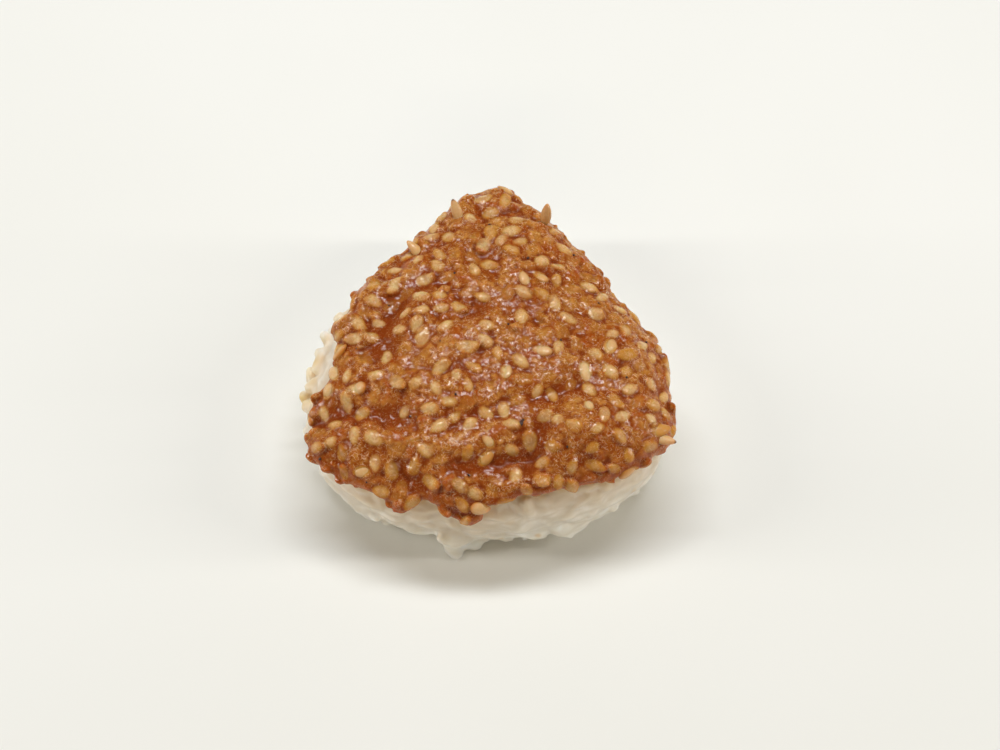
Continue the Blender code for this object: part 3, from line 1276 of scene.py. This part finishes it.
    def crumbs(
        self, surface: Surface, half: Sequence[float], spacing: float, sink: float, rng: np.random.Generator
    ) -> Lay:
        """Lays lumps or crumbs over the topping.

        Args:
            surface: the outside of the bare paste.
            half: half sizes of one.
            spacing: the least distance between two.
            sink: depth of their middles under the surface.
            rng: source of chance.

        Returns:
            Where they lie.
        """
        centres, normals = surface.spots(spacing, rng, crowding=5.0)
        count = len(centres)
        halves = np.array(half) * rng.uniform(0.6, 1.3, (count, 1))
        heading = rng.uniform(0, 2 * math.pi, count)
        axes = lying(normals, heading, rng.normal(0, 0.4, count), rng.normal(0, 0.4, count))
        return Lay(centres - normals * sink, axes, halves)

    def paste(
        self, ground: bpy.types.Mesh, seeds: Lay, coats: Array, rng: np.random.Generator
    ) -> bpy.types.Mesh:
        """Melts paste, lumps, crumbs and the film over the seeds into one skin.

        Args:
            ground: the bare paste.
            seeds: where the seeds lie.
            coats: the coat of each.
            rng: source of chance.

        Returns:
            The skin, with marks for its shader.
        """
        surface = self.outside(ground)
        shape = round_shape(10, 8, seed_form)
        films = [
            mesh_of("film", shape, seeds.picked(coats == number), coat.swell) for number, coat in enumerate(Coat)
        ]
        chips = self.crumbs(surface, (0.6 * MM, 0.45 * MM, 0.3 * MM), 1.7 * MM, 0.1 * MM, rng)
        lumps = self.crumbs(surface, (1.6 * MM, 1.2 * MM, 0.8 * MM), 4.5 * MM, 0.6 * MM, rng)
        knobs = self.crumbs(surface, (1.9 * MM, 1.2 * MM, 0.8 * MM), 5.5 * MM, 0.4 * MM, rng)
        knobs = knobs.picked(knobs.centres[:, 2] < self.brim())
        rough = [
            mesh_of("chips", chip_shape(3.7), chips),
            mesh_of("lumps", chip_shape(9.2), lumps),
            mesh_of("knobs", chip_shape(5.5), knobs),
        ]
        skin = fused("sesame_paste", [ground, *films, *rough], self.voxel, self.soften)
        points, normals = points_of(skin), normals_of(skin)
        under = ((points - self.heart()) * normals).sum(axis=1) < -0.5 * MM
        skin = thinned(skin, under, self.most_triangles)
        points, normals = points_of(skin), normals_of(skin)
        shown, tone, seed_ring_shade = self.seed_share(points, seeds, coats)
        side = np.clip((0.9 - normals[:, 2]) / 0.3, 0.0, 1.0)
        uneven = relief(points, self.relief, 4.4) * (1.0 - 0.7 * shown) * (1.0 - 0.5 * side)
        move_points(skin, points + normals * uneven[:, None])
        set_mark(skin, "seed", shown)
        set_mark(skin, "tone", tone)
        set_mark(skin, "seed_ring_shade", seed_ring_shade)
        self.mark_dips(skin)
        return skin

    def facing(self, normals: Array) -> Array:
        """How far the paste faces the front, away from the lamps, where painted shade makes it darker and redder.

        Args:
            normals: its outward directions.

        Returns:
            A share from 0 to 1 for each.
        """
        return np.clip(0.35 - 0.85 * normals[:, 1], 0.0, 1.0)

    def dug(self, points: Array) -> Array:
        """How deep the chosen dips are at each point.

        Args:
            points: points of the paste.

        Returns:
            A depth for each.
        """
        return -sum(np.minimum(swell.height(points), 0.0) for swell in SWELLS)

    def mark_dips(self, skin: bpy.types.Mesh) -> None:
        """Marks creases, hollows and steep sides that face the front: where sauce gathers, and where painted shade
        goes.

        Args:
            skin: the paste.
        """
        points, normals = points_of(skin), normals_of(skin)
        near = neighbour_mean(skin, points, 24)
        crease = ((near - points) * normals).sum(axis=1) / self.crease_depth
        wide = ((neighbour_mean(skin, near, 200) - points) * normals).sum(axis=1)
        furrow = self.dug(points)
        level = unit(neighbour_mean(skin, normals, 60))
        # steep sides that face the front, where painted shade goes
        set_mark(skin, "steep", np.clip((0.93 - level[:, 2]) / 0.35, 0.0, 1.0) * self.facing(level))
        set_mark(skin, "crease", np.clip(crease, 0.0, 1.0))
        set_mark(skin, "hollow", np.clip((wide + 1.1 * furrow) / self.hollow_depth, 0.0, 0.75))

    def seed_share(self, points: Array, seeds: Lay, coats: Array) -> tuple[Array, Array, Array]:
        """How much of what shows at each point is a seed under its film.

        Args:
            points: points of the paste.
            seeds: where the seeds lie.
            coats: the coat of each.

        Returns:
            Three shares from 0 to 1 for each point: of seed, its tone, and of the dark ring drawn
            around it, sauce drawn in and painted shade at its foot.
        """
        tree = kdtree.KDTree(len(points))
        for row, point in enumerate(points):
            tree.insert(point, row)
        tree.balance()
        share, tone, seed_ring_shade = np.zeros((3, len(points)))
        kinds = list(Coat)
        for centre, axes, halves, mark, coat in zip(
            seeds.centres, seeds.axes, seeds.halves, seeds.marks["tone"], coats
        ):
            rows = np.array([row for _, row, _ in tree.find_range(centre, halves[0] * 1.3)], int)
            if not len(rows):
                continue
            along, across, up = ((points[rows] - centre) @ axes.T / halves).T
            plan = np.hypot(along, across / seed_taper(np.clip(along, -1.0, 1.0)))
            edge = np.clip((1.06 - plan) / 0.32, 0.0, 1.0)
            rim = np.clip((plan - 0.35) / 0.6, 0.0, 1.0)
            film = math.exp(-kinds[coat].film / self.clear_film)
            found = np.where(up > 0.0, edge * edge * (3.0 - 2.0 * edge) * film, 0.0)
            # a dark ring round the seed's foot: sauce drawn in, and painted shade
            ring = np.clip(1.0 - np.abs(plan - 1.12) / 0.2, 0.0, 1.0) * film
            seed_ring_shade[rows] = np.maximum(seed_ring_shade[rows], ring * self.ring_shade_most)
            more = found > share[rows]
            share[rows[more]] = found[more]
            tone[rows[more]] = np.minimum(mark + 0.9 * rim[more], 1.0)
        return share, tone, seed_ring_shade

    def perched(self, ground: bpy.types.Mesh, places: Sequence[tuple[float, ...]], half: Sequence[float]) -> Lay:
        """Sets things on the paste at chosen places.

        Args:
            ground: the bare paste.
            places: x, y and rise over the paste in millimetres, heading and pitch in degrees.
            half: half sizes of one.

        Returns:
            Where they lie.
        """
        bm = bmesh.new()
        bm.from_mesh(ground)
        tree = BVHTree.FromBMesh(bm)
        bm.free()
        centres = []
        for x, y, rise, _, _ in places:
            below = tree.ray_cast(Vector((x * MM, y * MM, 1.0)), Vector((0.0, 0.0, -1.0)))[0]
            centres.append((x * MM, y * MM, below.z + rise * MM))
        heading, pitch = np.radians([place[3:] for place in places]).T
        count = len(places)
        axes = lying(np.tile((0.0, 0.0, 1.0), (count, 1)), heading, pitch, np.zeros(count))
        return Lay(np.array(centres), axes, np.tile(half, (count, 1)))

    def whole(self, seeds: Lay, rng: np.random.Generator) -> bpy.types.Mesh:
        """The seeds that show bare.

        Args:
            seeds: where they lie.
            rng: source of chance.

        Returns:
            Their mesh, with marks for its shader.
        """
        shape = round_shape(14, 11, seed_form)
        tip = np.clip((shape.points[:, 0] - 0.9) / 0.12, 0.0, 1.0)
        burnt = rng.random(len(seeds.centres)) < 0.22
        seeds.marks["scorch"] = burnt[:, None] * tip[None, :]
        rim = np.clip((0.8 - shape.points[:, 2]) / 0.6, 0.0, 1.0)
        seeds.marks["rim"] = np.repeat(rim[None, :], len(seeds.centres), axis=0)
        seeds.marks["rim"][-len(STRAYS) :] *= 0.35  # the last ones stand clear of the sauce
        return mesh_of("whole_seeds", shape, seeds)

    def build(self) -> None:
        """Builds the paste, the seeds and the scorched crumbs."""
        rng = np.random.default_rng(23)
        ground = self.ground()
        surface = self.outside(ground)
        seeds, coats = self.seeds(surface, rng)
        bare = seeds.picked(coats == list(Coat).index(Coat.BARE))
        strays = self.perched(ground, STRAYS, self.stray)
        strays.marks["tone"] = np.full(len(STRAYS), 0.25)
        bare = bare.joined_to(strays)
        add_piece(self.paste(ground, seeds, coats, rng), self.paste_finish.make(), self.node)
        add_piece(self.whole(bare, rng), self.seed_finish.make(), self.node)
        crumbs = self.crumbs(surface, (0.22 * MM, 0.18 * MM, 0.14 * MM), 8.5 * MM, -0.1 * MM, rng)
        crumbs = crumbs.joined_to(self.perched(ground, FLAKES, self.flake))
        scorched = mesh_of("scorched_crumbs", chip_shape(1.1), crumbs)
        add_piece(scorched, self.crumb_finish.make(), self.node)


# ---------------------------------------------------------------- studio


@dataclass
class Studio:
    """A pale floor, soft light from above and behind, and the camera."""

    floor_half: float = 1.5
    aim: tuple[float, float, float] = (1.84 * MM, -6.07 * MM, 18.0 * MM)
    elevation: float = 61.0
    distance: float = 292.0 * MM
    lens_mm: float = 60.0
    rise: float = 70.0  # of the top lamp, in degrees above the floor, behind the ball
    glow: float = 23.0  # of its face
    reach: float = 0.75
    finish: MattCard = MattCard()

    def floor(self) -> None:
        """Lays the floor."""
        bm = bmesh.new()
        bmesh.ops.create_grid(bm, x_segments=1, y_segments=1, size=self.floor_half)
        mesh = bpy.data.meshes.new("floor")
        bm.to_mesh(mesh)
        bm.free()
        mesh.materials.append(self.finish.make())
        floor = bpy.data.objects.new("floor", mesh)
        bpy.context.scene.collection.objects.link(floor)

    def lamp(
        self, name: str, place: tuple[float, float, float], size: tuple[float, float], glow: float, tint: str
    ) -> None:
        """Hangs a flat soft light that looks at the ball.

        Args:
            name: the lamp's name.
            place: where it hangs, in metres.
            size: its length and width.
            glow: how bright its face is.
            tint: its colour.
        """
        light = bpy.data.lights.new(name, "AREA")
        light.shape = "RECTANGLE"
        light.size, light.size_y = size
        light.energy = glow * math.pi * size[0] * size[1]
        light.color = linear(tint)[:3]
        lamp = bpy.data.objects.new(name, light)
        lamp.location = place
        lamp.rotation_euler = (-Vector(place)).to_track_quat("-Z", "Y").to_euler()
        bpy.context.scene.collection.objects.link(lamp)

    def lights(self) -> None:
        """Lights the ball: narrow lamps above and beside it for the wet glints, a warm one in front."""
        rise = math.radians(self.rise)
        place = (0.0, self.reach * math.cos(rise), self.reach * math.sin(rise))
        self.lamp("top_lamp", place, (0.7, 0.085), self.glow, "#F8FBFF")
        self.lamp("left_lamp", (-0.7, 0.0, 0.35), (0.06, 0.5), 20.5, "#FFFDF8")
        self.lamp("right_lamp", (0.7, 0.0, 0.35), (0.06, 0.5), 21.0, "#FFFBF4")
        self.lamp("front_lamp", (0.0, -0.7, 0.4), (0.7, 0.05), 9.6, "#FFF0D6")
        world = bpy.data.worlds.new("pale_air")
        world.use_nodes = True
        world.node_tree.nodes.clear()
        air = add_node(world.node_tree, "Background", {"Color": "#FFF2D8", "Strength": 0.12})
        add_node(world.node_tree, "OutputWorld", {"Surface": air})
        bpy.context.scene.world = world

    def camera(self) -> None:
        """Sets up the camera, looking down on the ball from the front."""
        data = bpy.data.cameras.new("camera")
        data.lens = self.lens_mm
        data.clip_start = 0.01
        camera = bpy.data.objects.new("camera", data)
        rise = math.radians(self.elevation)
        back = Vector((0.0, -math.cos(rise), math.sin(rise)))
        camera.location = Vector(self.aim) + back * self.distance
        camera.rotation_euler = (math.pi / 2 - rise, 0.0, 0.0)
        bpy.context.scene.collection.objects.link(camera)
        bpy.context.scene.camera = camera

    def build(self) -> None:
        """Sets up the floor, the lights and the camera."""
        self.floor()
        self.lights()
        self.camera()
        bpy.context.scene.view_settings.view_transform = "Standard"


def main() -> None:
    """Builds everything in order."""
    logging.basicConfig(level=logging.INFO, format="%(name)s: %(message)s")
    Studio().build()
    PressedRice().build()
    SesameMiso().build()


if __name__ == "__main__":
    main()
